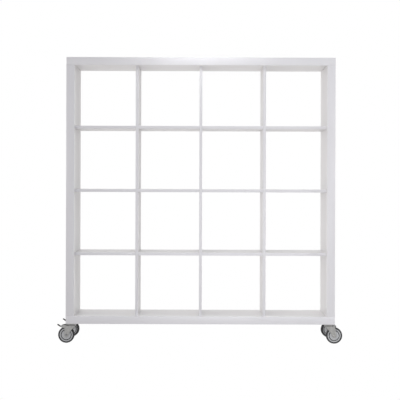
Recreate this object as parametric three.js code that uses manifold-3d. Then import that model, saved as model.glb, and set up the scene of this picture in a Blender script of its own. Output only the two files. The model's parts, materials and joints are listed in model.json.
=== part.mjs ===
// A free-standing shelving partition: a 4 by 4 grid of open compartments on four swivel castors.
// Millimetres, +Z up. The origin is on the floor under the middle of the carcass, and -Y is the front.
import * as THREE from "three";
import { mergeVertices } from "three/addons/utils/BufferGeometryUtils.js";
import Module from "manifold-3d";

const wasm = await Module();
wasm.setup();

// Driving dimensions of the carcass
const WIDTH = 1490;
const CARCASS_HEIGHT = 1477;
const DEPTH = 390;
const COLUMNS = 4;
const ROWS = 4;
const SIDE_THICKNESS = 45;
const TOP_THICKNESS = 43;
const INNER_THICKNESS = 16;
const INNER_SETBACK = 28;
const GAP = 0.3;

// Joinery
const DOWEL_RADIUS = 4;
const DOWEL_SIDES = 8;
const DOWEL_REACH = 11.5;
const DOWEL_HOLE_DEPTH = 12;
const DOWEL_Y = 105;
const SCREW_Y = 75;
const SCREW_RADIUS = 3.2;
const SCREW_LENGTH = 78;
const SCREW_HEAD_RADIUS = 6.5;
const SCREW_HEAD_HEIGHT = 4;
const SCREW_SIDES = 8;
const SOCKET_RADIUS = 2.3;
const SOCKET_DEPTH = 2.5;
const PILOT_SPARE = 2;

// Castors: x runs from the swivel axis towards the trailing wheel, z up from the floor
const CASTOR_HEIGHT = 109;
const SWIVEL_X = 715;
const SWIVEL_Y = 149;
const WHEEL_RADIUS = 45;
const WHEEL_WIDTH = 26;
const TRAIL = 30;
const CORE_RADIUS = 37;
const PLATE = { length: 92, width: 60, thickness: 2.5, corner: 7 };
const PLATE_HOLE = { x: 20.5, y: 36, radius: 3.2 };
const STEEL = 2.5;
const FORK_INSIDE = 31;
const CROWN_BOTTOM = 97;
const CROWN_RADIUS = 25;
const CROWN_LENGTH = 32;
const CUP_TOP = 103.2;
const CUP_INNER_RADIUS = 17;
const RACE = { inner: 12, low: 21, outer: 23 };
const KINGPIN = { radius: 5, headRadius: 9, headHeight: 3 };
const AXLE_RADIUS = 4;
const NUT_RADIUS = 7.5;
const NUT_HEIGHT = 6.5;
const BOLT_HEAD_HEIGHT = 5.3;
const BOLT_SPARE = 2;
const EYE_RADIUS = 12;
const HUB_RADIUS = 10;
const HUB_HALF = 14.8;
const RIM_INNER_RADIUS = 30;
const DISC_RECESS = 1.5;
const BRAKE_PIVOT = new THREE.Vector2(52, 91);
const BRAKE_THROW = THREE.MathUtils.degToRad(28);
const BRAKE_WIDTH = 28;
const BRAKE_PIN_RADIUS = 2.5;
const BRAKE_PIN_HEAD = { radius: 4, height: 1.6 };
const BRAKE_ARM_END = { x: 56, z: 90.6, radius: 5.2 };
const PIN_SIDES = 12;
const RING_SIDES = 16;
const WHEEL_SIDES = 32;

// Heights worked out from them
const CARCASS_BOTTOM = CASTOR_HEIGHT + GAP;
const CARCASS_TOP = CARCASS_BOTTOM + CARCASS_HEIGHT;
const INNER_BOTTOM = CARCASS_BOTTOM + TOP_THICKNESS;
const INNER_HEIGHT = CARCASS_HEIGHT - 2 * TOP_THICKNESS;
const INNER_DEPTH = DEPTH - 2 * INNER_SETBACK;
const CELL_WIDTH = (WIDTH - 2 * SIDE_THICKNESS - (COLUMNS - 1) * INNER_THICKNESS) / COLUMNS;
const CELL_HEIGHT = (INNER_HEIGHT - (ROWS - 1) * INNER_THICKNESS) / ROWS;
const UPRIGHT_X = [1, 2, 3].map((n) => (n - COLUMNS / 2) * (CELL_WIDTH + INNER_THICKNESS));
const SHELF_Z = [3, 2, 1].map(
  (n) => INNER_BOTTOM + n * CELL_HEIGHT + (n - 0.5) * INNER_THICKNESS,
);
const PLATE_TOP = CASTOR_HEIGHT;
const PLATE_BOTTOM = PLATE_TOP - PLATE.thickness;
const LEG_OUTSIDE = FORK_INSIDE / 2 + STEEL;

const MATERIALS = {
  board: { color: 0xe9e8ea, roughness: 0.45, metalness: 0 },
  zinc: { color: 0xb9b6ae, roughness: 0.38, metalness: 0.9 },
  core: { color: 0xa4a8aa, roughness: 0.5, metalness: 0 },
  tyre: { color: 0x3c3d3f, roughness: 0.75, metalness: 0 },
  pedal: { color: 0x5a5956, roughness: 0.45, metalness: 0.8 },
};

// three.js geometry to a solid that can be joined and cut, and back
function solid(geometry) {
  const bare = geometry.clone();
  bare.deleteAttribute("normal");
  bare.deleteAttribute("uv");
  const merged = mergeVertices(bare, 1e-4);
  return new wasm.Manifold(
    new wasm.Mesh({
      numProp: 3,
      vertProperties: new Float32Array(merged.attributes.position.array),
      triVerts: new Uint32Array(merged.index.array),
    }),
  );
}

function geometryOf(body) {
  const mesh = body.getMesh();
  const geometry = new THREE.BufferGeometry();
  geometry.setAttribute("position", new THREE.BufferAttribute(mesh.vertProperties, 3));
  geometry.setIndex(new THREE.BufferAttribute(mesh.triVerts, 1));
  geometry.computeVertexNormals();
  return geometry;
}

function build(body, added = [], cut = []) {
  let result = solid(body);
  for (const piece of added) result = result.add(solid(piece));
  for (const piece of cut) result = result.subtract(solid(piece));
  return geometryOf(result);
}

function box(width, depth, height, x = 0, y = 0, z = 0) {
  return new THREE.BoxGeometry(width, depth, height).translate(x, y, z);
}

// A round rod between two points
function rod(from, to, radius, sides) {
  const start = new THREE.Vector3(...from);
  const along = new THREE.Vector3(...to).sub(start);
  const turn = new THREE.Quaternion().setFromUnitVectors(
    new THREE.Vector3(0, 1, 0),
    along.clone().normalize(),
  );
  return new THREE.CylinderGeometry(radius, radius, along.length(), sides)
    .applyQuaternion(turn)
    .translate(...start.addScaledVector(along, 0.5).toArray());
}

// A ring turned about the z axis, from an [radius, z] outline that runs counter-clockwise
function turned(outline, sides) {
  const points = [...outline, outline[0]].map(([r, z]) => new THREE.Vector2(r, z));
  return new THREE.LatheGeometry(points, sides).rotateX(Math.PI / 2);
}

// An outline in x and z, extruded across y and centred on it
function across(shape, width) {
  const geometry = new THREE.ExtrudeGeometry(shape, {
    depth: width,
    bevelEnabled: false,
    curveSegments: 6,
  });
  return geometry.rotateX(Math.PI / 2).translate(0, width / 2, 0);
}

const group = new THREE.Group();

function add(parent, name, geometry, finish, position = [0, 0, 0]) {
  const mesh = new THREE.Mesh(geometry, new THREE.MeshStandardMaterial(MATERIALS[finish]));
  mesh.name = name;
  mesh.position.set(...position);
  parent.add(mesh);
}

// Thin boards. Each carries the dowels that are glued into its ends.
function shelf(leftReach, rightReach) {
  const half = CELL_WIDTH / 2 - GAP;
  const dowels = [-DOWEL_Y, DOWEL_Y].flatMap((y) => [
    rod([-half - leftReach, y, 0], [-half + 1, y, 0], DOWEL_RADIUS, DOWEL_SIDES),
    rod([half - 1, y, 0], [half + rightReach, y, 0], DOWEL_RADIUS, DOWEL_SIDES),
  ]);
  return build(box(2 * half, INNER_DEPTH, INNER_THICKNESS), dowels);
}

function upright() {
  const half = INNER_HEIGHT / 2 - GAP;
  const middle = INNER_BOTTOM + INNER_HEIGHT / 2;
  const dowels = [-DOWEL_Y, DOWEL_Y].flatMap((y) => [
    rod([0, y, half - 1], [0, y, half + DOWEL_REACH], DOWEL_RADIUS, DOWEL_SIDES),
    rod([0, y, -half - DOWEL_REACH], [0, y, -half + 1], DOWEL_RADIUS, DOWEL_SIDES),
  ]);
  const holes = SHELF_Z.flatMap((z) =>
    [-DOWEL_Y, DOWEL_Y].map((y) =>
      rod(
        [-INNER_THICKNESS, y, z - middle],
        [INNER_THICKNESS, y, z - middle],
        DOWEL_RADIUS + GAP,
        DOWEL_SIDES,
      ),
    ),
  );
  return build(box(INNER_THICKNESS, INNER_DEPTH, 2 * half), dowels, holes);
}

// A side panel, with blind dowel holes in the face at side * thickness / 2 and a pilot hole
// for each corner screw in its ends.
function sidePanel(side) {
  const half = INNER_HEIGHT / 2 - GAP;
  const middle = INNER_BOTTOM + INNER_HEIGHT / 2;
  const face = (side * SIDE_THICKNESS) / 2;
  const dowelHoles = SHELF_Z.flatMap((z) =>
    [-DOWEL_Y, DOWEL_Y].map((y) =>
      rod(
        [face - side * DOWEL_HOLE_DEPTH, y, z - middle],
        [face + side, y, z - middle],
        DOWEL_RADIUS + GAP,
        DOWEL_SIDES,
      ),
    ),
  );
  const pilotDepth = SCREW_LENGTH - TOP_THICKNESS + PILOT_SPARE;
  const pilots = [-SCREW_Y, SCREW_Y].flatMap((y) => [
    rod([0, y, half - pilotDepth], [0, y, half + 1], SCREW_RADIUS + GAP, SCREW_SIDES),
    rod([0, y, -half - 1], [0, y, -half + pilotDepth], SCREW_RADIUS + GAP, SCREW_SIDES),
  ]);
  return build(box(SIDE_THICKNESS, DEPTH, 2 * half), [], [...dowelHoles, ...pilots]);
}

// The top or bottom board. outward is +1 where its outer face looks up.
function endBoard(outward) {
  const outer = (outward * TOP_THICKNESS) / 2;
  const screwX = WIDTH / 2 - SIDE_THICKNESS / 2;
  const dowelHoles = UPRIGHT_X.flatMap((x) =>
    [-DOWEL_Y, DOWEL_Y].map((y) =>
      rod(
        [x, y, -outer - outward],
        [x, y, -outer + outward * DOWEL_HOLE_DEPTH],
        DOWEL_RADIUS + GAP,
        DOWEL_SIDES,
      ),
    ),
  );
  const screwHoles = [-screwX, screwX].flatMap((x) =>
    [-SCREW_Y, SCREW_Y].flatMap((y) => [
      rod([x, y, -outer - outward], [x, y, outer + outward], SCREW_RADIUS + GAP, SCREW_SIDES),
      rod(
        [x, y, outer - outward * (SCREW_HEAD_HEIGHT + GAP)],
        [x, y, outer + outward],
        SCREW_HEAD_RADIUS + GAP,
        SCREW_SIDES,
      ),
    ]),
  );
  return build(box(WIDTH, DEPTH, TOP_THICKNESS), [], [...dowelHoles, ...screwHoles]);
}

// Its head is at z = 0, flush with the board, and its shank points down.
function cornerScrew() {
  const socket = rod([0, 0, -SOCKET_DEPTH], [0, 0, 1], SOCKET_RADIUS, 6);
  const head = rod([0, 0, -SCREW_HEAD_HEIGHT], [0, 0, 0], SCREW_HEAD_RADIUS, SCREW_SIDES);
  const shank = rod([0, 0, -SCREW_LENGTH], [0, 0, -1], SCREW_RADIUS, SCREW_SIDES);
  return build(head, [shank], [socket]);
}

function addCarcass() {
  const middle = INNER_BOTTOM + INNER_HEIGHT / 2;
  const sideX = (WIDTH - SIDE_THICKNESS) / 2;
  const halfTop = TOP_THICKNESS / 2;
  add(group, "top_board", endBoard(1), "board", [0, 0, CARCASS_TOP - halfTop]);
  add(group, "bottom_board", endBoard(-1), "board", [0, 0, CARCASS_BOTTOM + halfTop]);
  add(group, "left_side_panel", sidePanel(1), "board", [-sideX, 0, middle]);
  add(group, "right_side_panel", sidePanel(-1), "board", [sideX, 0, middle]);
  ["left", "middle", "right"].forEach((name, n) => {
    add(group, `upright_${name}`, upright(), "board", [UPRIGHT_X[n], 0, middle]);
  });
  for (let row = 0; row < ROWS - 1; row += 1) {
    for (let column = 0; column < COLUMNS; column += 1) {
      // Two dowels share each hole through an upright; at a side panel the dowel has a hole of its own.
      const shared = INNER_THICKNESS / 2 - GAP;
      const leftReach = column === 0 ? DOWEL_REACH : shared;
      const rightReach = column === COLUMNS - 1 ? DOWEL_REACH : shared;
      const x = (column - (COLUMNS - 1) / 2) * (CELL_WIDTH + INNER_THICKNESS);
      const name = `shelf_row${row + 1}_column${column + 1}`;
      add(group, name, shelf(leftReach, rightReach), "board", [x, 0, SHELF_Z[row]]);
    }
  }
}

function addCornerScrews() {
  const screwX = WIDTH / 2 - SIDE_THICKNESS / 2;
  for (const [level, z, turn] of [
    ["top", CARCASS_TOP, 0],
    ["bottom", CARCASS_BOTTOM, Math.PI],
  ]) {
    for (const [end, x] of [
      ["left", -screwX],
      ["right", screwX],
    ]) {
      for (const [side, y] of [
        ["front", -SCREW_Y],
        ["back", SCREW_Y],
      ]) {
        const screw = cornerScrew().rotateX(turn);
        add(group, `corner_screw_${level}_${end}_${side}`, screw, "zinc", [x, y, z]);
      }
    }
  }
}

// Pressed top plate with four fixing holes and the upper half of the ball race under it
function castorPlate() {
  const { length, width, thickness, corner } = PLATE;
  const outline = new THREE.Shape();
  const dx = width / 2 - corner;
  const dy = length / 2 - corner;
  outline.absarc(dx, dy, corner, 0, Math.PI / 2);
  outline.absarc(-dx, dy, corner, Math.PI / 2, Math.PI);
  outline.absarc(-dx, -dy, corner, Math.PI, 1.5 * Math.PI);
  outline.absarc(dx, -dy, corner, 1.5 * Math.PI, 2 * Math.PI);
  const sheet = new THREE.ExtrudeGeometry(outline, {
    depth: thickness,
    bevelEnabled: false,
    curveSegments: 2,
  }).translate(0, 0, PLATE_BOTTOM);
  const race = turned(
    [
      [RACE.inner, CUP_TOP + 2 * GAP],
      [RACE.low, CUP_TOP + 2 * GAP],
      [RACE.outer, PLATE_BOTTOM + 1],
      [RACE.inner, PLATE_BOTTOM + 1],
    ],
    RING_SIDES,
  );
  const holes = [-1, 1].flatMap((i) =>
    [-1, 1].map((j) =>
      rod(
        [i * PLATE_HOLE.x, j * PLATE_HOLE.y, PLATE_BOTTOM - 1],
        [i * PLATE_HOLE.x, j * PLATE_HOLE.y, PLATE_TOP + 1],
        PLATE_HOLE.radius,
        SCREW_SIDES,
      ),
    ),
  );
  const bore = rod([0, 0, CROWN_BOTTOM], [0, 0, PLATE_TOP + 1], KINGPIN.radius + GAP, PIN_SIDES);
  return build(sheet, [race], [...holes, bore]);
}

// Side outline of a fork leg. The braked fork has an arm for the pedal's pin.
function legOutline(braked) {
  const crownTop = CROWN_BOTTOM + STEEL;
  const shape = new THREE.Shape();
  shape.moveTo(-20, crownTop);
  shape.lineTo(-20, CROWN_BOTTOM);
  shape.lineTo(10.5, 60);
  shape.absarc(TRAIL, WHEEL_RADIUS, EYE_RADIUS, Math.PI, 2 * Math.PI, false);
  shape.lineTo(38.5, 66);
  if (braked) {
    const { x, z, radius } = BRAKE_ARM_END;
    shape.lineTo(38.5, 80);
    shape.lineTo(41.5, 84.5);
    shape.absarc(x, z, radius, -0.5 * Math.PI, 0.35 * Math.PI, false);
    shape.lineTo(50, 98.3);
    shape.lineTo(37.5, crownTop);
  } else {
    shape.lineTo(37, 80);
    shape.lineTo(38.5, 90);
    shape.lineTo(38.5, 96);
    shape.lineTo(36, crownTop);
  }
  shape.closePath();
  return shape;
}

function castorFork(braked) {
  const leg = (side) =>
    across(legOutline(braked), STEEL).translate(0, (side * (FORK_INSIDE + STEEL)) / 2, 0);
  const crownTop = CROWN_BOTTOM + STEEL;
  const crown = rod([0, 0, CROWN_BOTTOM], [0, 0, crownTop], CROWN_RADIUS, RING_SIDES);
  const middle = CROWN_BOTTOM + STEEL / 2;
  const bridge = box(CROWN_LENGTH, 2 * LEG_OUTSIDE, STEEL, CROWN_LENGTH / 2, 0, middle);
  const cup = turned(
    [
      [CUP_INNER_RADIUS, crownTop - 1],
      [CROWN_RADIUS, crownTop - 1],
      [CROWN_RADIUS, CUP_TOP],
      [CUP_INNER_RADIUS, CUP_TOP],
    ],
    RING_SIDES,
  );
  const crossHole = (x, z, radius) =>
    rod([x, -LEG_OUTSIDE - 1, z], [x, LEG_OUTSIDE + 1, z], radius + GAP, PIN_SIDES);
  const cuts = [
    rod([0, 0, CROWN_BOTTOM - 1], [0, 0, crownTop + 1], KINGPIN.radius + GAP, PIN_SIDES),
    crossHole(TRAIL, WHEEL_RADIUS, AXLE_RADIUS),
  ];
  if (braked) cuts.push(crossHole(BRAKE_PIVOT.x, BRAKE_PIVOT.y, BRAKE_PIN_RADIUS));
  return build(crown, [bridge, cup, leg(-1), leg(1)], cuts);
}

// Riveted stud: its head is under the crown and its other end is spread flush with the plate's top
function kingpin() {
  const { radius, headRadius, headHeight } = KINGPIN;
  const headTop = CROWN_BOTTOM - GAP;
  const head = rod([0, 0, headTop - headHeight], [0, 0, headTop], headRadius, PIN_SIDES);
  const shank = rod([0, 0, headTop - 1], [0, 0, PLATE_TOP], radius, PIN_SIDES);
  return build(head, [shank]);
}

// Moulded core with a flush disc between its hub and its rim
function wheelCore() {
  const half = WHEEL_WIDTH / 2 - 1;
  return turned(
    [
      [AXLE_RADIUS + GAP, -HUB_HALF],
      [HUB_RADIUS, -HUB_HALF],
      [HUB_RADIUS + 1, -half + DISC_RECESS],
      [RIM_INNER_RADIUS - 1, -half + DISC_RECESS],
      [RIM_INNER_RADIUS, -half],
      [CORE_RADIUS - GAP, -half],
      [CORE_RADIUS - GAP, half],
      [RIM_INNER_RADIUS, half],
      [RIM_INNER_RADIUS - 1, half - DISC_RECESS],
      [HUB_RADIUS + 1, half - DISC_RECESS],
      [HUB_RADIUS, HUB_HALF],
      [AXLE_RADIUS + GAP, HUB_HALF],
    ],
    RING_SIDES,
  ).rotateX(Math.PI / 2);
}

function tyre() {
  const half = WHEEL_WIDTH / 2;
  const flat = 4.5;
  const shoulder = { in: 1.2, back: 2.5 };
  const tread = 6;
  return turned(
    [
      [CORE_RADIUS, -half + 0.5],
      [CORE_RADIUS + flat, -half],
      [WHEEL_RADIUS - shoulder.in, -half + shoulder.back],
      [WHEEL_RADIUS, -half + tread],
      [WHEEL_RADIUS, half - tread],
      [WHEEL_RADIUS - shoulder.in, half - shoulder.back],
      [CORE_RADIUS + flat, half],
      [CORE_RADIUS, half - 0.5],
    ],
    WHEEL_SIDES,
  ).rotateX(Math.PI / 2);
}

function axleBolt() {
  const inside = LEG_OUTSIDE + GAP;
  const end = inside + NUT_HEIGHT + BOLT_SPARE;
  const head = rod([0, -inside - BOLT_HEAD_HEIGHT, 0], [0, -inside, 0], NUT_RADIUS, 6);
  const shank = rod([0, -inside - 1, 0], [0, end, 0], AXLE_RADIUS, PIN_SIDES);
  return build(head, [shank]);
}

function axleNut() {
  const inside = LEG_OUTSIDE + GAP;
  const nut = rod([0, inside, 0], [0, inside + NUT_HEIGHT, 0], NUT_RADIUS, 6);
  const bore = rod([0, inside - 1, 0], [0, inside + NUT_HEIGHT + 1, 0], AXLE_RADIUS + GAP, PIN_SIDES);
  return build(nut, [], [bore]);
}

// The brake's cam points at the wheel's axle when the pedal has been pressed through its throw.
// The outlines are drawn about the brake pin.
function brakePedal() {
  const toAxle = Math.atan2(WHEEL_RADIUS - BRAKE_PIVOT.y, TRAIL - BRAKE_PIVOT.x);
  const rest = toAxle + BRAKE_THROW;
  const nose = 2.5;
  const boss = 4;
  const noseRadius = 3;
  const cam = new THREE.Shape();
  cam.absarc(0, 0, boss, rest + Math.PI / 2, rest + 1.5 * Math.PI, false);
  cam.absarc(
    nose * Math.cos(rest),
    nose * Math.sin(rest),
    noseRadius,
    rest - Math.PI / 2,
    rest + Math.PI / 2,
    false,
  );
  const strip = new THREE.Shape();
  strip.moveTo(-9, 6.2);
  strip.lineTo(-5, 4);
  strip.lineTo(9, -0.5);
  strip.lineTo(27, 11);
  strip.lineTo(26, 12.7);
  strip.lineTo(9.2, 1.7);
  strip.lineTo(-4.4, 6);
  strip.lineTo(-8, 8);
  strip.closePath();
  const bore = rod([0, -BRAKE_WIDTH, 0], [0, BRAKE_WIDTH, 0], BRAKE_PIN_RADIUS + GAP, PIN_SIDES);
  return build(across(strip, BRAKE_WIDTH), [across(cam, BRAKE_WIDTH)], [bore]);
}

function brakePin() {
  const end = LEG_OUTSIDE + GAP;
  const shank = rod([0, -end - 1, 0], [0, end + 1, 0], BRAKE_PIN_RADIUS, PIN_SIDES);
  const { radius, height } = BRAKE_PIN_HEAD;
  const heads = [-1, 1].map((side) =>
    rod([0, side * end, 0], [0, side * (end + height), 0], radius, PIN_SIDES),
  );
  return build(shank, heads);
}

function addCastor(name, x, y, braked) {
  const castor = new THREE.Group();
  castor.position.set(x, y, 0);
  castor.rotation.z = x < 0 ? Math.PI : 0;
  const axle = [TRAIL, 0, WHEEL_RADIUS];
  add(castor, `${name}_castor_plate`, castorPlate(), "zinc");
  add(castor, `${name}_castor_kingpin`, kingpin(), "zinc");
  add(castor, `${name}_castor_fork`, castorFork(braked), "zinc");
  add(castor, `${name}_castor_axle_bolt`, axleBolt(), "zinc", axle);
  add(castor, `${name}_castor_axle_nut`, axleNut(), "zinc", axle);
  add(castor, `${name}_castor_wheel_core`, wheelCore(), "core", axle);
  add(castor, `${name}_castor_tyre`, tyre(), "tyre", axle);
  if (braked) {
    const pin = [BRAKE_PIVOT.x, 0, BRAKE_PIVOT.y];
    add(castor, `${name}_brake_pedal`, brakePedal(), "pedal", pin);
    add(castor, `${name}_brake_pin`, brakePin(), "zinc", pin);
  }
  group.add(castor);
}

addCarcass();
addCornerScrews();
addCastor("front_left", -SWIVEL_X, -SWIVEL_Y, true);
addCastor("rear_left", -SWIVEL_X, SWIVEL_Y, true);
addCastor("front_right", SWIVEL_X, -SWIVEL_Y, false);
addCastor("rear_right", SWIVEL_X, SWIVEL_Y, false);

export default group;
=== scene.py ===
"""A white open shelving partition on four castors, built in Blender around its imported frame.

Metres, +Z up, front at -Y. Every place and size that the frame holds is read from it.
"""

import json
import math

import bmesh
import bpy
from mathutils import Matrix, Vector


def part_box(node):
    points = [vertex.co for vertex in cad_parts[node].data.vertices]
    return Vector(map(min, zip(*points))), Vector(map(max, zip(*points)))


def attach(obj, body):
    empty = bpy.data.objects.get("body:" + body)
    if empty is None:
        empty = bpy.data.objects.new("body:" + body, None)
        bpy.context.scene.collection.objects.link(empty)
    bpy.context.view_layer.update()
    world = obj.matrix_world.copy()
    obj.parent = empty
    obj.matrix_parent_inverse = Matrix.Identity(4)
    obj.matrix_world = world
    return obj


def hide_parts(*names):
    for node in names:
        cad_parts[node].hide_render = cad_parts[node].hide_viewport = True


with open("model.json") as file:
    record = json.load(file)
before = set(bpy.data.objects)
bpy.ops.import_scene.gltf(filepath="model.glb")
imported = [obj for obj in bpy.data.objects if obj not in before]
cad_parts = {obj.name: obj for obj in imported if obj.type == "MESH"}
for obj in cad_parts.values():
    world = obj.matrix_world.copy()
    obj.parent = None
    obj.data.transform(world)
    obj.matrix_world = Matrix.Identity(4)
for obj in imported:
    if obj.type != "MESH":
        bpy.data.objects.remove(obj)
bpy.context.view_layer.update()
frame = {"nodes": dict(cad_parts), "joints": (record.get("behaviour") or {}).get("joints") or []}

MM = 0.001
COLUMNS = 4
ROWS = 4
UPRIGHTS = ("upright_left", "upright_middle", "upright_right")

# Boards
BAND = 1.0 * MM
BAND_SEAM = 0.15 * MM
BAND_ROUND = 0.45 * MM
FOIL_ROUND = 0.2 * MM
JOINT_GAP = 0.3 * MM
DOWEL_RADIUS = 4 * MM
DOWEL_TIP = 1.0 * MM
DOWEL_Y = 105 * MM
DOWEL_FLUTES = 16
FLUTE_DEPTH = 0.07 * DOWEL_RADIUS
SCREW_HEAD = 4 * MM
SCREW_SHANK = 3.2 * MM
SCREW_PITCH = 2.5 * MM
SOCKET_ACROSS_FLATS = 4.2 * MM
SOCKET_DEPTH = 2.4 * MM

# Castors, in a frame of their own: x from the swivel axis towards the trailing wheel, z up from the floor
STEEL = 2.5 * MM
CROWN_BOTTOM = 97 * MM
CROWN_TOP = CROWN_BOTTOM + STEEL
CROWN_RADIUS = 25 * MM
CROWN_END = 37.5 * MM
CUP_TOP = 103.2 * MM
PLATE_CORNER = 7 * MM
SLOT_X = 20.5 * MM
SLOT_Y = 36 * MM
SLOT_RADIUS = 3.3 * MM
SLOT_HALF = 2.4 * MM
BALLS = 22
BALL_RADIUS = 1.9 * MM
BALL_RING_RADIUS = 21.9 * MM
EYE_RADIUS = 12 * MM
LEG_MIDDLE = 16.75 * MM
LEG_BEND = 4.5 * MM
LEG_COLUMNS = 14
EAR_BOTTOM = 81 * MM
# width of the painted shade strip along an unbraked fork's upper trailing edge
EDGE_SHADE_STRIP = 4 * MM
NUT_ACROSS_FLATS = 13 * MM
BOLT_HEAD = 4.1 * MM
WASHER = 1.2 * MM
AXLE_RADIUS = 4 * MM
AXLE_PITCH = 1.25 * MM
THREAD_DEPTH = 0.5 * MM
# radii of the groove that is painted dark as shade in the wheel core
GROOVE_SHADE = (25.8 * MM, 29.9 * MM)
TYRE_SHOULDER = 4.2 * MM
# width of the dark tyre lip over the core's rim, standing in for shade on the castor's inner side
TYRE_SHADE_LIP = 4.0 * MM
PEDAL_STEEL = 1.9 * MM
PEDAL_FLANGE = 3.0 * MM
PEDAL_BOSS = 3.9 * MM
PEDAL_BORE = 2.8 * MM
CAM_NOSE = 2.5 * MM
CAM_TIP_RADIUS = 2.95 * MM
SPRING_HALF = 9.5 * MM
SPRING_STEEL = 1.5 * MM

# Surfaces
SMOOTH_UNDER = 32
BEND_OVER = 50

# Studio
STAGE_RADIUS = 60
CAMERA_PLACE = (-0.0146, -7.333, 0.884)
CAMERA_ROLL = -0.0032
CAMERA_LENS = 116.1
CAMERA_SHIFT = (0.0049, -0.0393)
LIGHT_LOBES = [
    ((0, 0, 1), (0.97, 0.975, 1.01)),
    ((0, 0, -1), (0.93, 0.905, 0.91)),
    ((-1, 0, 0), (0.50, 0.47, 0.455)),
    ((0, 1, 0), (0.21, 0.19, 0.175)),
]


# ---------------------------------------------------------------- meshes


def new_object(name, bm):
    """A bmesh as a linked object, smooth where its faces meet under SMOOTH_UNDER degrees."""
    mesh = bpy.data.meshes.new(name)
    bmesh.ops.recalc_face_normals(bm, faces=bm.faces)
    bm.to_mesh(mesh)
    bm.free()
    mesh.shade_smooth()
    mesh.set_sharp_from_angle(angle=math.radians(SMOOTH_UNDER))
    made = bpy.data.objects.new(name, mesh)
    bpy.context.scene.collection.objects.link(made)
    return made


def baked(source):
    """source's mesh with its modifiers applied, as a bmesh; source itself is removed."""
    bpy.context.view_layer.update()
    graph = bpy.context.evaluated_depsgraph_get()
    mesh = bpy.data.meshes.new_from_object(source.evaluated_get(graph))
    mesh.transform(source.matrix_world)
    bm = bmesh.new()
    bm.from_mesh(mesh)
    bpy.data.meshes.remove(mesh)
    bpy.data.objects.remove(source)
    return bm


def merge(target, part, material=None):
    """Adds part's geometry to target, and paints it with material number material if one is given."""
    if material is not None:
        for face in part.faces:
            face.material_index = material
    mesh = bpy.data.meshes.new("part")
    part.to_mesh(mesh)
    part.free()
    target.from_mesh(mesh)
    bpy.data.meshes.remove(mesh)
    return target


def slab(lo, hi, rounding, segments=2):
    """A box between two corners with every edge rounded."""
    bm = bmesh.new()
    bmesh.ops.create_cube(bm, size=1)
    size = Vector(hi) - Vector(lo)
    middle = (Vector(hi) + Vector(lo)) / 2
    bmesh.ops.scale(bm, vec=size, verts=bm.verts)
    bmesh.ops.translate(bm, vec=middle, verts=bm.verts)
    bmesh.ops.bevel(
        bm, geom=bm.edges[:], offset=rounding, segments=segments, profile=0.5, affect="EDGES"
    )
    return bm


def in_mm(points):
    """Points of a plane in metres, from points in millimetres."""
    return [(x * MM, y * MM) for x, y in points]


def lathe(profile, steps, closed=True):
    """A ring about the z axis from (radius, z) points; an open profile starts and ends on the axis."""
    bm = bmesh.new()
    rings = []
    for radius, z in profile:
        if radius < 1e-9:
            rings.append([bm.verts.new((0, 0, z))])
            continue
        ring = []
        for step in range(steps):
            turn = 2 * math.pi * step / steps
            ring.append(bm.verts.new((radius * math.cos(turn), radius * math.sin(turn), z)))
        rings.append(ring)
    pairs = list(zip(rings, rings[1:]))
    if closed:
        pairs.append((rings[-1], rings[0]))
    for lower, upper in pairs:
        for step in range(steps):
            after = (step + 1) % steps
            corners = [
                lower[step % len(lower)],
                lower[after % len(lower)],
                upper[after % len(upper)],
                upper[step % len(upper)],
            ]
            bm.faces.new(list(dict.fromkeys(corners)))
    return bm


def arc(centre, radius, start, end, steps):
    """Points of an arc in the plane, angles in degrees."""
    points = []
    for step in range(steps + 1):
        turn = math.radians(start + (end - start) * step / steps)
        points.append((centre[0] + radius * math.cos(turn), centre[1] + radius * math.sin(turn)))
    return points


def circle(radius, count):
    """Points round a circle about the origin."""
    return arc((0, 0), radius, 0, 360 * (count - 1) / count, count - 1)


def hexagon(across_flats):
    return circle(across_flats / math.sqrt(3), 6)


def flat_part(outlines, bottom, top, rounding):
    """A plate in x and y between two heights. The first outline is its rim, the others are holes."""
    data = bpy.data.curves.new("outline", "CURVE")
    data.dimensions = "2D"
    data.fill_mode = "BOTH"
    data.extrude = (top - bottom) / 2 - rounding
    data.bevel_depth = rounding
    data.bevel_resolution = 2
    data.offset = -rounding
    for outline in outlines:
        spline = data.splines.new("POLY")
        spline.points.add(len(outline) - 1)
        for point, (x, y) in zip(spline.points, outline):
            point.co = (x, y, 0, 1)
        spline.use_cyclic_u = True
    source = bpy.data.objects.new("outline", data)
    bpy.context.scene.collection.objects.link(source)
    source.location.z = (top + bottom) / 2
    bm = baked(source)
    bmesh.ops.remove_doubles(bm, verts=bm.verts, dist=1e-6)
    return bm


def sheet(rows, thickness, rounding):
    """A pressed sheet from rows of points on its middle surface, with its cut edges rounded."""
    bm = bmesh.new()
    grid = [[bm.verts.new(point) for point in row] for row in rows]
    for low, high in zip(grid, grid[1:]):
        for n in range(len(low) - 1):
            bm.faces.new((low[n], low[n + 1], high[n + 1], high[n]))
    source = new_object("sheet", bm)
    solidify = source.modifiers.new("solidify", "SOLIDIFY")
    solidify.thickness = thickness
    solidify.offset = 0
    solidify.use_even_offset = True
    bevel = source.modifiers.new("bevel", "BEVEL")
    bevel.width = rounding
    bevel.segments = 2
    bevel.limit_method = "ANGLE"
    bevel.angle_limit = math.radians(BEND_OVER)
    return baked(source)


def moved(bm, matrix):
    bmesh.ops.transform(bm, matrix=matrix, verts=bm.verts)
    return bm


def along_y(bm, x, z):
    """Turns a part made about the z axis to lie along y, its +z end towards +y, through x and z."""
    turn = Matrix.Rotation(math.radians(-90), 4, "X")
    return moved(bm, Matrix.Translation((x, 0, z)) @ turn)


# ---------------------------------------------------------------- materials


def node(tree, kind, **settings):
    made = tree.nodes.new(kind)
    for key, value in settings.items():
        setattr(made, key, value)
    return made


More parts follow.
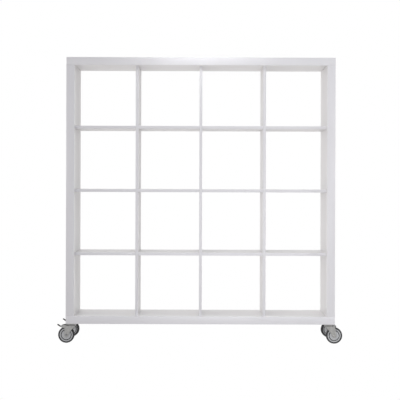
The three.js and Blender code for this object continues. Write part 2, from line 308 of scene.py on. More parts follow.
def noise(tree, coordinates, scale, detail, stretch=None):
    """The factor of a noise texture on the piece's own coordinates, scale in waves per metre."""
    source = coordinates
    if stretch:
        mapping = node(tree, "ShaderNodeMapping")
        mapping.inputs["Scale"].default_value = stretch
        tree.links.new(coordinates, mapping.inputs["Vector"])
        source = mapping.outputs["Vector"]
    texture = node(tree, "ShaderNodeTexNoise")
    texture.inputs["Scale"].default_value = scale
    texture.inputs["Detail"].default_value = detail
    tree.links.new(source, texture.inputs["Vector"])
    return texture.outputs["Fac"]


def spread(tree, factor, low, high):
    """Maps the middle of a noise factor to the range from low to high."""
    ranged = node(tree, "ShaderNodeMapRange", clamp=True)
    ranged.inputs["From Min"].default_value = 0.3
    ranged.inputs["From Max"].default_value = 0.7
    ranged.inputs["To Min"].default_value = low
    ranged.inputs["To Max"].default_value = high
    tree.links.new(factor, ranged.inputs["Value"])
    return ranged.outputs["Result"]


def surface(
    name, dark, light, patch, rough, grain, height, metallic=0.0, specular=0.5, stretch=None
):
    """A procedural finish.

    Colour drifts between dark and light over patches, roughness varies over its range, and the
    bump is a fine grain. patch and grain are in waves per metre, height is the bump in metres.
    """
    material = bpy.data.materials.new(name)
    material.use_nodes = True
    tree = material.node_tree
    shader = tree.nodes["Principled BSDF"]
    shader.inputs["Metallic"].default_value = metallic
    shader.inputs["Specular IOR Level"].default_value = specular
    coordinates = node(tree, "ShaderNodeTexCoord").outputs["Object"]
    drift = noise(tree, coordinates, patch, 4, stretch)
    ramp = node(tree, "ShaderNodeValToRGB")
    ramp.color_ramp.elements[0].position = 0.3
    ramp.color_ramp.elements[0].color = (*dark, 1)
    ramp.color_ramp.elements[1].position = 0.7
    ramp.color_ramp.elements[1].color = (*light, 1)
    tree.links.new(drift, ramp.inputs["Fac"])
    tree.links.new(ramp.outputs["Color"], shader.inputs["Base Color"])
    fine = noise(tree, coordinates, grain, 3, stretch)
    tree.links.new(spread(tree, fine, *rough), shader.inputs["Roughness"])
    bump = node(tree, "ShaderNodeBump")
    bump.inputs["Strength"].default_value = 1.0
    bump.inputs["Distance"].default_value = height
    tree.links.new(fine, bump.inputs["Height"])
    tree.links.new(bump.outputs["Normal"], shader.inputs["Normal"])
    return material


def make_materials():
    return {
        "board": surface(
            "white_foil", (0.825, 0.818, 0.819), (0.845, 0.838, 0.839), 3, (0.34, 0.42), 900, 6e-6
        ),
        "band": surface(
            "white_edge_band", (0.805, 0.805, 0.835), (0.825, 0.825, 0.855), 6, (0.3, 0.38), 1200, 4e-6
        ),
        "dowel": surface(
            "beech", (0.50, 0.33, 0.19), (0.62, 0.44, 0.27), 60, (0.5, 0.65), 900, 3e-5,
            stretch=(0.2, 1, 1),
        ),
        "zinc": surface(
            "zinc_plated_steel", (0.272, 0.27, 0.264), (0.342, 0.34, 0.333), 90, (0.3, 0.46), 1500, 8e-6,
            metallic=0.85,
        ),
        "core": surface(
            "grey_moulded_core", (0.515, 0.53, 0.545), (0.57, 0.585, 0.60), 50, (0.4, 0.52), 1600, 9e-6
        ),
        "tyre": surface(
            "dark_rubber", (0.040, 0.041, 0.043), (0.060, 0.061, 0.064), 80, (0.6, 0.8), 1400, 2.5e-5,
            specular=0.2,
        ),
        "pedal": surface(
            "dark_pedal_steel", (0.04, 0.039, 0.037), (0.065, 0.063, 0.06), 90, (0.42, 0.58), 1300, 9e-6,
            metallic=0.3, specular=0.3,
        ),
        "nylon": surface(
            "nylon_insert", (0.07, 0.12, 0.28), (0.09, 0.15, 0.33), 90, (0.4, 0.5), 1300, 5e-6
        ),
    }


MATERIALS = make_materials()


def piece(name, bm, finishes, body, stands_for):
    """A finished piece: its first finish gives the material slot, and it rides on body."""
    made = new_object(name, bm)
    for finish in finishes:
        made.data.materials.append(MATERIALS[finish])
    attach(made, body)
    if stands_for:
        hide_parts(*stands_for)


# ---------------------------------------------------------------- boards


def banded_board(lo, hi, ends=False):
    """A foil-wrapped board with a band glued along its front and back edge.

    With ends, its two ends are closed too, with strips of the foil.
    """
    lo = Vector(lo)
    hi = Vector(hi)
    strip = BAND + BAND_SEAM
    inset = Vector((strip if ends else 0, strip, 0))
    bm = slab(lo + inset, hi - inset, FOIL_ROUND, 1)
    for low, high in ((lo.y, lo.y + BAND), (hi.y - BAND, hi.y)):
        merge(bm, slab((lo.x, low, lo.z), (hi.x, high, hi.z), BAND_ROUND), 1)
    if ends:
        for low, high in ((lo.x, lo.x + BAND), (hi.x - BAND, hi.x)):
            merge(bm, slab((low, lo.y + strip, lo.z), (high, hi.y - strip, hi.z), BAND_ROUND), 0)
    return bm


def dowel(start, end):
    """A fluted wooden dowel along x or z, with a chamfered tip at its end."""
    start = Vector(start)
    run = Vector(end) - start
    length = run.length
    profile = [(0, 0), (DOWEL_RADIUS, 0), (DOWEL_RADIUS, length - DOWEL_TIP)]
    profile += [(DOWEL_RADIUS - DOWEL_TIP, length), (0, length)]
    bm = lathe(profile, 2 * DOWEL_FLUTES, closed=False)
    flute = 1 - FLUTE_DEPTH / DOWEL_RADIUS
    for vert in bm.verts:
        around = math.atan2(vert.co.y, vert.co.x) * DOWEL_FLUTES / (2 * math.pi)
        if math.hypot(vert.co.x, vert.co.y) > 0.9 * DOWEL_RADIUS and round(2 * around) % 2:
            vert.co.x *= flute
            vert.co.y *= flute
    turn = Vector((0, 0, 1)).rotation_difference(run).to_matrix().to_4x4()
    return moved(bm, Matrix.Translation(start) @ turn)


def make_thick_boards():
    for name, ends in (
        ("top_board", True),
        ("bottom_board", True),
        ("left_side_panel", False),
        ("right_side_panel", False),
    ):
        bm = banded_board(*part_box(name), ends)
        piece(f"{name}_foiled", bm, ["board", "band"], "carcass", [name])


def make_uprights():
    """The uprights. A node's box holds its dowels too, so the board's ends come from its neighbours."""
    low_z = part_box("bottom_board")[1].z + JOINT_GAP
    high_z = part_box("top_board")[0].z - JOINT_GAP
    for name in UPRIGHTS:
        lo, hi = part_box(name)
        bm = banded_board((lo.x, lo.y, low_z), (hi.x, hi.y, high_z))
        middle = (lo.x + hi.x) / 2
        for y in (-DOWEL_Y, DOWEL_Y):
            merge(bm, dowel((middle, y, low_z + MM), (middle, y, lo.z)), 2)
            merge(bm, dowel((middle, y, high_z - MM), (middle, y, hi.z)), 2)
        piece(f"{name}_foiled", bm, ["board", "band", "dowel"], "carcass", [name])


def make_shelves():
    """The shelves, each between the facing sides of the two boards beside it."""
    beside = [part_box(name) for name in ("left_side_panel", *UPRIGHTS, "right_side_panel")]
    for row in range(1, ROWS):
        for column in range(1, COLUMNS + 1):
            name = f"shelf_row{row}_column{column}"
            lo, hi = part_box(name)
            low_x = beside[column - 1][1].x + JOINT_GAP
            high_x = beside[column][0].x - JOINT_GAP
            bm = banded_board((low_x, lo.y, lo.z), (high_x, hi.y, hi.z))
            middle = (lo.z + hi.z) / 2
            for y in (-DOWEL_Y, DOWEL_Y):
                merge(bm, dowel((low_x + MM, y, middle), (lo.x, y, middle)), 2)
                merge(bm, dowel((high_x - MM, y, middle), (hi.x, y, middle)), 2)
            piece(f"{name}_foiled", bm, ["board", "band", "dowel"], "carcass", [name])


def socket_screw(radius, length):
    """A screw with its head flush at z = 0, a hexagon socket in it, and its thread pointing down."""
    bm = flat_part([circle(radius, 36), hexagon(SOCKET_ACROSS_FLATS)], -SCREW_HEAD, 0, 0.3 * MM)
    profile = [(0, -SOCKET_DEPTH), (SCREW_SHANK, -SOCKET_DEPTH), (SCREW_SHANK + 1.5 * MM, -SCREW_HEAD)]
    z = -SCREW_HEAD - 1 * MM
    profile.append((SCREW_SHANK * 0.8, z))
    root = SCREW_SHANK * 0.72
    while z > -length + 2.5 * SCREW_PITCH:
        profile.append((root, z))
        profile.append((SCREW_SHANK, z - SCREW_PITCH / 2))
        z -= SCREW_PITCH
    profile += [(root, z), (0, -length)]
    return merge(bm, lathe(profile, 20, closed=False))


def make_corner_screws():
    for node_name in sorted(frame["nodes"]):
        if not node_name.startswith("corner_screw_"):
            continue
        lo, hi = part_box(node_name)
        middle = (lo + hi) / 2
        bm = socket_screw((hi.x - lo.x) / 2, hi.z - lo.z)
        if "_top_" in node_name:
            place = Matrix.Translation((middle.x, middle.y, hi.z))
        else:
            place = Matrix.Translation((middle.x, middle.y, lo.z)) @ Matrix.Rotation(math.pi, 4, "X")
        piece(f"{node_name}_socket", moved(bm, place), ["zinc"], "carcass", [node_name])


# ---------------------------------------------------------------- castors


def between(x, points):
    """Straight-line interpolation in a list of (x, y) points that rise in x."""
    for (x0, y0), (x1, y1) in zip(points, points[1:]):
        if x <= x1:
            return y0 + (y1 - y0) * max(0.0, x - x0) / (x1 - x0)
    return points[-1][1]


def castor_plate(size):
    """The top plate with four slots, and the pressed upper half of the race under it."""
    dx = size["plate_x"] / 2 - PLATE_CORNER
    dy = size["plate_y"] / 2 - PLATE_CORNER
    rim = []
    for x, y, start in ((dx, dy, 0), (-dx, dy, 90), (-dx, -dy, 180), (dx, -dy, 270)):
        rim += arc((x, y), PLATE_CORNER, start, start + 90, 8)
    holes = []
    for x in (-SLOT_X, SLOT_X):
        for y in (-SLOT_Y, SLOT_Y):
            slot = arc((x, y + SLOT_HALF), SLOT_RADIUS, 0, 180, 10)
            slot += arc((x, y - SLOT_HALF), SLOT_RADIUS, 180, 360, 10)
            holes.append(slot)
    top = size["plate_top"]
    bottom = top - STEEL
    bm = flat_part([rim, *holes], bottom, top, 0.35 * MM)
    low = CUP_TOP + 0.6 * MM
    dish = [(12 * MM, bottom + 0.5 * MM), (12 * MM, low)]
    dish += [(18.5 * MM, low), (19.6 * MM, low + 0.5 * MM), (20.4 * MM, low + 1.1 * MM)]
    dish += [(22.6 * MM, bottom - 0.2 * MM), (23.4 * MM, bottom + 0.5 * MM)]
    return merge(bm, lathe(dish, 64))


def castor_screws(size):
    """Four screws through the plate's slots, with washer heads and a round recess, pointing up."""
    bm = bmesh.new()
    bottom = size["plate_top"] - STEEL
    profile = [(0, 14), (1.0, 12), (2.4, 9), (2.4, -0.1), (6.3, -0.1), (6.5, -0.5), (6.2, -0.9)]
    profile += [(4.6, -1.1), (4.3, -1.7), (3.5, -2.3), (1.9, -2.6), (1.6, -1.2), (0, -0.9)]
    for x in (-SLOT_X, SLOT_X):
        for y in (-SLOT_Y, SLOT_Y):
            screw = lathe(in_mm(profile), 32, closed=False)
            merge(bm, moved(screw, Matrix.Translation((x, y, bottom))))
    return bm


def kingpin(size):
    """The riveted stud, its domed head under the crown."""
    under = CROWN_BOTTOM - JOINT_GAP
    dome = arc((0, under), 9 * MM, 270, 360, 8)
    profile = [(r, under + (z - under) / 3) for r, z in dome]
    profile[0] = (0, profile[0][1])
    profile += [(5 * MM, under + 0.4 * MM), (5 * MM, size["plate_top"] - 0.4 * MM)]
    profile += [(4.6 * MM, size["plate_top"]), (1.2 * MM, size["plate_top"] - 0.8 * MM)]
    profile.append((0, size["plate_top"] - 1.0 * MM))
    return lathe(profile, 40, closed=False)


def race_balls():
    """The ring of balls between the two halves of the race."""
    bm = bmesh.new()
    for n in range(BALLS):
        turn = 2 * math.pi * n / BALLS
        x = BALL_RING_RADIUS * math.cos(turn)
        y = BALL_RING_RADIUS * math.sin(turn)
        place = Matrix.Translation((x, y, CUP_TOP + 0.3 * MM))
        bmesh.ops.create_icosphere(bm, subdivisions=2, radius=BALL_RADIUS, matrix=place)
    return bm


def leg_front(z, size):
    """The leading edge of a fork leg at height z."""
    if z < size["axle_z"]:
        rise = size["axle_z"] - z
        return size["trail"] - math.sqrt(max(0.0, EYE_RADIUS**2 - rise**2))
    points = [(45, 18), (52, 15), (60, 10), (68, 4.3), (80, -5.4), (90, -14.4), (98, -21)]
    return between(z / MM, points) * MM


def leg_back(z, size, braked):
    """The trailing edge of a fork leg at height z. A braked fork has an ear for the pedal's pin."""
    if z < size["axle_z"]:
        rise = size["axle_z"] - z
        return size["trail"] + math.sqrt(max(0.0, EYE_RADIUS**2 - rise**2))
    if braked:
        points = [(45, 42), (56, 39.6), (66, 38.4), (79, 38.4), (82, 40), (83.6, 43), (84.6, 47)]
        points += [(85.4, 52), (86.2, 56.4), (87.6, 59.2), (89.6, 60.6), (93.6, 60.8), (95.4, 59.6)]
        points += [(96.8, 56.4), (98.25, 50)]
    else:
        points = [(45, 42), (56, 39.6), (66, 38), (77, 37.4), (84, 38.2), (88, 39.6), (94, 40.4)]
        points += [(98.25, 39.2)]
    return between(z / MM, points) * MM


def paint_trailing_edge_shade(bm, size):
    """Paints the upper trailing edge of an unbraked fork with material 1, a dark strip of painted shade
    where the edge falls into shadow.
    """
    for face in bm.faces:
        middle = face.calc_center_median()
        edge = leg_back(middle.z, size, False)
        face.material_index = int(middle.z >= EAR_BOTTOM and middle.x > edge - EDGE_SHADE_STRIP)


def half_fork_path(size, crown_middle, bend_z):
    """Points (y, z) on the middle of the sheet, from a leg's foot up to the middle of the crown."""
    axle_z = size["axle_z"]
    just_inside = 0.999  # so that the lowest row still has a width
    levels = [axle_z - EYE_RADIUS * math.cos(math.pi * n / 16) * just_inside for n in range(9)]
    levels += [axle_z + (EAR_BOTTOM - axle_z) * n / 12 for n in range(1, 13)]
    levels += [EAR_BOTTOM + (bend_z - EAR_BOTTOM) * n / 16 for n in range(1, 17)]
    half = [(LEG_MIDDLE, z) for z in levels]
    flat = LEG_MIDDLE - LEG_BEND
    half += arc((flat, bend_z), LEG_BEND, 15, 90, 5)
    return half + [(flat * (1 - n / 4), crown_middle) for n in range(1, 5)]


def castor_fork(size, braked):
    """The pressed fork: one folded sheet for crown and legs, and the lower half of the race."""
    crown_middle = CROWN_BOTTOM + STEEL / 2
    bend_z = crown_middle - LEG_BEND
    crown_end = CROWN_END if braked else leg_back(crown_middle, size, braked)
    half = half_fork_path(size, crown_middle, bend_z)
    rows = []
    for y, z in [(-y, z) for y, z in half] + half[-2::-1]:
        x0 = leg_front(z, size)
        if z > bend_z:
            round_front = -math.sqrt(CROWN_RADIUS**2 - y**2) + 0.6 * MM
            share = (z - bend_z) / LEG_BEND
            x0 = x0 * (1 - share) + round_front * share
        x1 = crown_end if abs(y) < LEG_MIDDLE - LEG_BEND else leg_back(z, size, braked)
        rows.append([(x0 + (x1 - x0) * n / LEG_COLUMNS, y, z) for n in range(LEG_COLUMNS + 1)])
    bm = sheet(rows, STEEL, 0.45 * MM)
    # an unbraked fork gets a strip of painted shade along its upper trailing edge
    if not braked:
        paint_trailing_edge_shade(bm, size)
    lip = 0.8 * MM
    low = CROWN_TOP - 1 * MM
    cup = [(17 * MM, low), (CROWN_RADIUS - 1.2 * MM, low), (CROWN_RADIUS - 0.3 * MM, low + 0.5 * MM)]
    cup += [(CROWN_RADIUS, low + 1.4 * MM), (CROWN_RADIUS, CUP_TOP - lip)]
    cup += [(CROWN_RADIUS - 0.25 * MM, CUP_TOP - 0.2 * MM), (CROWN_RADIUS - lip, CUP_TOP)]
    cup += [(CROWN_RADIUS - 1.3 * MM, CUP_TOP - 0.3 * MM), (22.6 * MM, CUP_TOP - 1.8 * MM)]
    cup += [(20.6 * MM, CUP_TOP - 1.8 * MM), (19.2 * MM, CUP_TOP - 0.4 * MM), (17 * MM, CUP_TOP - 0.4 * MM)]
    return merge(bm, lathe(cup, 64))


def wheel_core(size):
    """The moulded core: hub, flush disc, a deep groove round it, and the rim that carries the tyre.

    The groove's floor is painted as dark as the tyre, as painted shade in the recess.
    """
    half = size["wheel_width"] / 2 - 1 * MM
    rim = size["core_radius"]
    side = [(4.3, 14.8), (8.6, 14.8), (9.4, 14.4), (10.0, 13.2), (10.8, 12.2), (12.2, 11.6)]
    side += [(20.0, 11.9), (24.9, 11.7), (25.6, 11.3), (25.9, 10.4), (26.2, 4.0)]
    side += [(29.5, 4.0), (29.8, 10.6), (30.1, 11.5), (30.8, half / MM)]
    side = [*in_mm(side), (rim - 0.6 * MM, half), (rim, half - 0.5 * MM)]
    profile = [(r, -y) for r, y in side] + [(r, y) for r, y in reversed(side)]
    bm = lathe(profile, 96)
    # painted shade: the groove takes the tyre's dark finish
    for face in bm.faces:
        middle = face.calc_center_median()
        face.material_index = int(
            abs(middle.z) < 10 * MM and GROOVE_SHADE[0] < math.hypot(middle.x, middle.y) < GROOVE_SHADE[1]
        )
    return along_y(bm, size["trail"], size["axle_z"])


def tyre(size):
    """The tyre: flat-sided, with rounded shoulders and a shallow line moulded each side of the tread.

    On the side that faces the other castors a thin lip of it covers the rim of the core: dark rubber
    standing in for the shade that falls there under the board.
    """
    half = size["wheel_width"] / 2
    rim = size["core_radius"] + JOINT_GAP
    radius = size["wheel_radius"]
    outer = [(rim, half - 0.7 * MM), (rim + 0.5 * MM, half - 0.15 * MM), (rim + 1.4 * MM, half)]
    # the lip is dark rubber put where the rim lies in shade: painted shade
    lip = rim - TYRE_SHADE_LIP
    inner = [(rim, half - 0.9 * MM), (lip, half - 0.9 * MM), (lip - 0.3 * MM, half - 0.6 * MM)]
    inner += [(lip, half - 0.2 * MM), (lip + 0.6 * MM, half)]
    centre = (half - TYRE_SHOULDER - 0.1 * MM, radius - TYRE_SHOULDER)
    side = [(radius - TYRE_SHOULDER - 0.4 * MM, half - 0.1 * MM)]
    side += [(r, z) for z, r in arc(centre, TYRE_SHOULDER, 8, 82, 7)]
    side += [(radius - 0.05 * MM, half - 5.4 * MM), (radius - 0.5 * MM, half - 5.9 * MM)]
    side += [(radius, half - 6.4 * MM)]
    if size["inner_side"] > 0:
        outer, inner = inner, outer
    low = inner + side
    high = outer + side
    profile = [(r, -y) for r, y in low] + [(r, y) for r, y in reversed(high)]
    return along_y(lathe(profile, 120), size["trail"], size["axle_z"])


def axle_bolt(size):
    """A hexagon bolt with a washer under its head and a few turns of thread past the nut."""
    inside = size["bolt_inside"]
    seat = -inside - WASHER
    head = flat_part([hexagon(NUT_ACROSS_FLATS)], seat - BOLT_HEAD, seat, 0.5 * MM)
    washer = in_mm([(4.2, 0), (7.4, 0), (7.7, 0.3), (7.7, 1.0), (7.4, 1.2), (4.2, 1.2)])
    bm = merge(head, lathe([(r, seat + z) for r, z in washer], 48))
    end = size["bolt_end"]
    thread = AXLE_RADIUS - THREAD_DEPTH
    profile = [(0, -inside - 3 * MM), (AXLE_RADIUS, -inside - 3 * MM), (AXLE_RADIUS, inside)]
    z = inside
    while z < end - 1.2 * MM:
        profile += [(thread, z + 0.1 * MM), (AXLE_RADIUS, z + 0.7 * MM)]
        z += AXLE_PITCH
    profile += [(thread, end - 0.2 * MM), (thread - 0.6 * MM, end), (0, end)]
    merge(bm, lathe(profile, 32, closed=False))
    return along_y(bm, size["trail"], size["axle_z"])


def axle_nut(size):
    """A lock nut: a hexagon, then a collar with a nylon ring inside."""
    inside = size["bolt_inside"]
    bore = circle(AXLE_RADIUS + JOINT_GAP, 24)
    bm = flat_part([hexagon(NUT_ACROSS_FLATS), bore], inside, inside + 4.9 * MM, 0.4 * MM)
    start = inside + 4.4 * MM
    collar = in_mm([(4.9, 0), (6.1, 0), (6.1, 1.4), (5.7, 2.0), (5.2, 2.1), (4.9, 1.8)])
    merge(bm, lathe([(r, start + z) for r, z in collar], 40))
    ring = in_mm([(4.3, 0), (4.95, 0), (4.95, 1.7), (4.3, 1.5)])
    merge(bm, lathe([(r, start + z) for r, z in ring], 40), 1)
    return along_y(bm, size["trail"], size["axle_z"])


def pedal_tread(size):
    """The tread: a bent sheet, narrower at its heel, with its side edges turned down."""
    x, z = size["brake_x"], size["brake_z"]
    half = size["pedal_width"] / 2
    line = [(-3.4, 4.7), (-1.0, 3.9), (3.0, 2.5), (6.6, 1.3), (8.6, 0.9), (10.2, 1.5), (12.0, 2.7)]
    line += [(16.5, 5.7), (21.5, 9.0), (25.0, 11.3), (26.4, 12.3)]
    heel_rows = 3
    rows = []
    for n, (u, v) in enumerate(line):
        toe = max(0, n - len(line) + 3)
        width = half * (0.8 if n < heel_rows else 1.0 - 0.07 * toe**1.6)
        before = line[max(n - 1, 0)]
        after = line[min(n + 1, len(line) - 1)]
        run = math.hypot(after[0] - before[0], after[1] - before[1])
        down = Vector(((after[1] - before[1]) / run, 0, (before[0] - after[0]) / run))
        centre = Vector((x + u * MM, 0, z + v * MM))
        row = [centre + Vector((0, width * side / 5, 0)) for side in range(-5, 6)]
        row[0] += down * 0.35 * MM
        row[-1] += down * 0.35 * MM
        depth = 0.6 * MM if n < heel_rows else PEDAL_FLANGE
        rows.append([row[0] + down * depth, *row, row[-1] + down * depth])
    return sheet(rows, PEDAL_STEEL, 0.4 * MM)


def brake_pedal(size):
    """The pressed pedal: its tread with three ribs at the toe, its two cheeks, and the cam."""
    x, z = size["brake_x"], size["brake_z"]
    half = size["pedal_width"] / 2
    bm = pedal_tread(size)
    rib_half = half * 0.72
    for n in range(3):
        u, v = 14.5 + 3.6 * n, 5.0 + 2.4 * n
        rib = slab((-0.55 * MM, -rib_half, -0.6 * MM), (0.55 * MM, rib_half, 0.7 * MM), 0.3 * MM)
        place = Matrix.Translation((x + u * MM, 0, z + v * MM))
        merge(bm, moved(rib, place @ Matrix.Rotation(math.radians(-33), 4, "Y")))
    stand = Matrix.Translation((x, 0, z)) @ Matrix.Rotation(math.radians(90), 4, "X")
    hole = circle(PEDAL_BORE, 24)
    cheek = [(-2.4 * MM, 3.4 * MM), *arc((0, 0), PEDAL_BOSS, 150, 330, 14)]
    cheek += in_mm([(8.2, 0.8), (3.0, 2.6)])
    for low, high in ((-half, -half + PEDAL_STEEL), (half - PEDAL_STEEL, half)):
        merge(bm, moved(flat_part([cheek, hole], low, high, 0.25 * MM), stand))
    nose = size["cam_angle"]
    turn = math.radians(nose)
    cam = arc((0, 0), PEDAL_BOSS, nose + 90, nose + 270, 14)
    tip = (CAM_NOSE * math.cos(turn), CAM_NOSE * math.sin(turn))
    cam += arc(tip, CAM_TIP_RADIUS, nose - 90, nose + 90, 14)
    cam_half = half - 4 * MM
    return merge(bm, moved(flat_part([cam, hole], -cam_half, cam_half, 0.3 * MM), stand))


def brake_spring():
    """The leaf spring over the pedal's heel, folded double where it is riveted to the crown."""
    line = [(37.5, 100.35), (31.0, 100.35), (28.6, 100.6), (28.0, 101.5), (28.6, 102.35)]
    line += [(31.0, 102.6), (38.5, 102.6), (42.0, 102.1), (46.5, 100.9), (51.0, 99.5), (53.5, 98.9)]
    rows = []
    for n, (x, z) in enumerate(line):
        width = SPRING_HALF * (0.75 if n == len(line) - 1 else 1.0)
        rows.append([(x * MM, width * side / 3, z * MM) for side in range(-3, 4)])
    bm = sheet(rows, SPRING_STEEL, 0.35 * MM)
    profile = [(0, -1.5), (1.6, -1.3), (2.6, -0.4), (2.8, 0.1), (1.6, 0.1)]
    profile += [(1.6, 3.4), (2.6, 3.6), (2.4, 4.4), (0, 4.6)]
    rivet = lathe(in_mm(profile), 24, closed=False)
    return merge(bm, moved(rivet, Matrix.Translation((33.5 * MM, 0, CROWN_BOTTOM))), 1)


def brake_pin(size):
    """A rivet with two domed heads."""
    head = [(2.5, -1.61), (3.7, -1.6), (4.0, -1.3), (3.7, -0.7), (2.6, -0.15), (1.2, 0), (0, 0)]
    side = [(r, size["pin_half"] + z) for r, z in in_mm(head)]
    profile = [(r, -z) for r, z in reversed(side)] + side
    return along_y(lathe(profile, 36, closed=False), size["brake_x"], size["brake_z"])


def castor_size(name, braked):
    """The sizes of one castor in its own frame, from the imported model."""
    joints = {joint["name"]: joint for joint in frame["joints"]}
    swivel = Vector(joints[f"{name}_castor_swivel"]["pos_m"])
    wheel = Vector(joints[f"{name}_wheel_spin"]["pos_m"])
    tyre_lo, tyre_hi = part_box(f"{name}_castor_tyre")
    core_lo, core_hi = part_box(f"{name}_castor_wheel_core")
    plate_lo, plate_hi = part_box(f"{name}_castor_plate")
    bolt_lo, bolt_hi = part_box(f"{name}_castor_axle_bolt")
    nut_lo, nut_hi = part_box(f"{name}_castor_axle_nut")
    nut_inside = min(abs(nut_lo.y - swivel.y), abs(nut_hi.y - swivel.y))
    bolt_end = max(abs(bolt_lo.y - swivel.y), abs(bolt_hi.y - swivel.y))
    size = {
        "swivel": swivel,
        "trail": abs(wheel.x - swivel.x),
        "axle_z": wheel.z,
        "wheel_radius": wheel.z,
        "wheel_width": tyre_hi.y - tyre_lo.y,
        "core_radius": (core_hi.z - core_lo.z) / 2,
        "plate_x": plate_hi.x - plate_lo.x,
        "plate_y": plate_hi.y - plate_lo.y,
        "plate_top": plate_hi.z,
        "bolt_inside": nut_inside,
        "bolt_end": bolt_end,
        "inner_side": -swivel.x * swivel.y,
    }
    if braked:
        brake = joints[f"{name}_brake_press"]
        pivot = Vector(brake["pos_m"])
        pedal_lo, pedal_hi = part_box(f"{name}_brake_pedal")
        pin_lo, pin_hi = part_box(f"{name}_brake_pin")
        size["brake_x"] = abs(pivot.x - swivel.x)
        size["brake_z"] = pivot.z
        size["pedal_width"] = pedal_hi.y - pedal_lo.y
        size["pin_half"] = (pin_hi.y - pin_lo.y) / 2
        to_axle = math.degrees(
            math.atan2(size["axle_z"] - size["brake_z"], size["trail"] - size["brake_x"])
        )
        size["cam_angle"] = to_axle + brake["range_deg"][1]
    return size


def make_castor(name, braked):
    size = castor_size(name, braked)
    turn = math.pi if size["swivel"].x < 0 else 0.0
    place = Matrix.Translation((size["swivel"].x, size["swivel"].y, 0)) @ Matrix.Rotation(turn, 4, "Z")
    swivel = f"{name}_swivel"
    wheel = f"{name}_wheel"
    castor = f"{name}_castor"
    fork = castor_fork(size, braked)
    parts = [
        (f"{castor}_plate_pressed", castor_plate(size), ["zinc"], "carcass", [f"{castor}_plate"]),
        (f"{castor}_fixing_screws", castor_screws(size), ["zinc"], "carcass", []),
        (f"{castor}_kingpin_rivet", kingpin(size), ["zinc"], "carcass", [f"{castor}_kingpin"]),
        (f"{castor}_race_balls", race_balls(), ["zinc"], swivel, []),
        # the fork's second finish, the dark pedal steel, is painted shade on an unbraked fork's trailing
        # edge
        (f"{castor}_fork_pressed", fork, ["zinc", "pedal"], swivel, [f"{castor}_fork"]),
        (f"{castor}_bolt_and_washer", axle_bolt(size), ["zinc"], swivel, [f"{castor}_axle_bolt"]),
        (f"{castor}_lock_nut", axle_nut(size), ["zinc", "nylon"], swivel, [f"{castor}_axle_nut"]),
        # the core's second finish, the tyre's rubber, is painted shade in its groove
        (f"{castor}_core_moulded", wheel_core(size), ["core", "tyre"], wheel, [f"{castor}_wheel_core"]),
        (f"{castor}_tyre_moulded", tyre(size), ["tyre"], wheel, [f"{castor}_tyre"]),
    ]
    if braked:
        brake = f"{name}_brake"
        parts += [
            (f"{name}_pedal_pressed", brake_pedal(size), ["pedal"], brake, [f"{brake}_pedal"]),
            (f"{brake}_rivet", brake_pin(size), ["zinc"], swivel, [f"{brake}_pin"]),
            (f"{brake}_spring", brake_spring(), ["pedal", "zinc"], swivel, []),
        ]
    for part_name, bm, finishes, body, nodes in parts:
        piece(part_name, moved(bm, place), finishes, body, nodes)


# ---------------------------------------------------------------- studio


def glow(name, colour, strength):
    material = bpy.data.materials.new(name)
    material.use_nodes = True
    tree = material.node_tree
    tree.nodes.remove(tree.nodes["Principled BSDF"])
    emission = node(tree, "ShaderNodeEmission")
    emission.inputs["Color"].default_value = (*colour, 1)
    emission.inputs["Strength"].default_value = strength
    tree.links.new(emission.outputs["Emission"], tree.nodes["Material Output"].inputs["Surface"])
    return material


def make_stage():
    """A white floor inside a white dome.

    They are white to the eye and in reflections, and give the object no diffuse light of their own:
    that comes from the world and the softboxes, so the whites of the boards stay softer than the floor.
    """
    white = glow("white_paper", (1, 1, 1), 1.0)
    floor_mesh = bmesh.new()
    bmesh.ops.create_circle(floor_mesh, cap_ends=True, segments=96, radius=STAGE_RADIUS)
    dome_mesh = bmesh.new()
    bmesh.ops.create_uvsphere(dome_mesh, u_segments=64, v_segments=32, radius=STAGE_RADIUS)
    for name, bm in (("studio_floor", floor_mesh), ("studio_dome", dome_mesh)):
        stage = new_object(name, bm)
        stage.data.materials.append(white)
        stage.visible_diffuse = False
        stage.visible_shadow = False


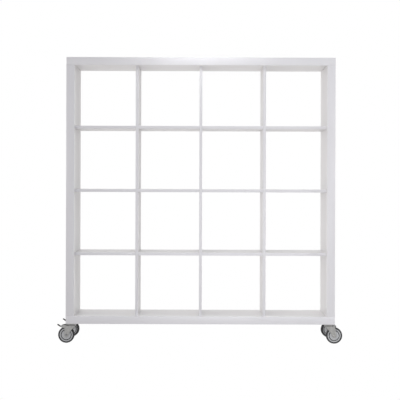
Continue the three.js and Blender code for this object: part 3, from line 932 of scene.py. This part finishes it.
def make_world():
    """Light from all round: each lobe is brightest straight along its direction and fades to its sides."""
    world = bpy.data.worlds.new("studio")
    world.use_nodes = True
    tree = world.node_tree
    direction = node(tree, "ShaderNodeTexCoord").outputs["Generated"]
    total = None
    for towards, colour in LIGHT_LOBES:
        along = node(tree, "ShaderNodeVectorMath", operation="DOT_PRODUCT")
        along.inputs[1].default_value = towards
        tree.links.new(direction, along.inputs[0])
        facing = node(tree, "ShaderNodeMath", operation="MAXIMUM")
        facing.inputs[1].default_value = 0
        tree.links.new(along.outputs["Value"], facing.inputs[0])
        lobe = node(tree, "ShaderNodeVectorMath", operation="SCALE")
        lobe.inputs[0].default_value = colour
        tree.links.new(facing.outputs["Value"], lobe.inputs["Scale"])
        if total is None:
            total = lobe.outputs["Vector"]
            continue
        added = node(tree, "ShaderNodeVectorMath", operation="ADD")
        tree.links.new(total, added.inputs[0])
        tree.links.new(lobe.outputs["Vector"], added.inputs[1])
        total = added.outputs["Vector"]
    tree.links.new(total, tree.nodes["Background"].inputs["Color"])
    bpy.context.scene.world = world


def softbox(name, at, target, width, height, power, spread):
    """A soft rectangular light whose beam is spread degrees wide."""
    data = bpy.data.lights.new(name, "AREA")
    data.shape = "RECTANGLE"
    data.size = width
    data.size_y = height
    data.energy = power
    data.spread = math.radians(spread)
    light = bpy.data.objects.new(name, data)
    light.location = at
    light.rotation_euler = (Vector(target) - Vector(at)).to_track_quat("-Z", "Y").to_euler()
    light.visible_camera = False
    bpy.context.scene.collection.objects.link(light)


def make_lights():
    softbox("across_from_left", (-2.6, -4.2, 1.4), (1.5, 0, 0.9), 1.0, 1.0, 4.2, 50)
    softbox("right_end", (1.7, -3.4, 1.35), (1.1, 0, 1.15), 1.0, 1.4, 0.95, 60)
    softbox("right_side", (4, -1, 1.5), (0, 0, 0.9), 1.6, 1.6, 29, 150)
    softbox("bottom_board", (0.2, -2.6, 0.5), (0.2, -0.2, 0.15), 1.2, 0.3, 0.6, 50)
    softbox("top_board_glint", (0, -0.9, 2.3), (0, -0.05, 1.80), 0.5, 0.3, 0.9, 50)
    softbox("top_board_wash", (0.05, -2.4, 3.4), (0.05, -0.2, 1.5), 0.8, 0.8, 1.0, 70)


def make_camera():
    data = bpy.data.cameras.new("camera")
    data.sensor_width = 36
    data.lens = CAMERA_LENS
    data.shift_x, data.shift_y = CAMERA_SHIFT
    data.clip_end = 200
    camera = bpy.data.objects.new("camera", data)
    camera.location = CAMERA_PLACE
    camera.rotation_euler = (math.radians(90), CAMERA_ROLL, 0)
    bpy.context.scene.collection.objects.link(camera)
    bpy.context.scene.camera = camera


make_camera()
make_world()
make_stage()
make_lights()
make_thick_boards()
make_uprights()
make_shelves()
make_corner_screws()
for castor_name in ("front_left", "rear_left", "front_right", "rear_right"):
    make_castor(castor_name, braked=castor_name.endswith("left"))
bpy.context.scene.view_settings.view_transform = "Standard"
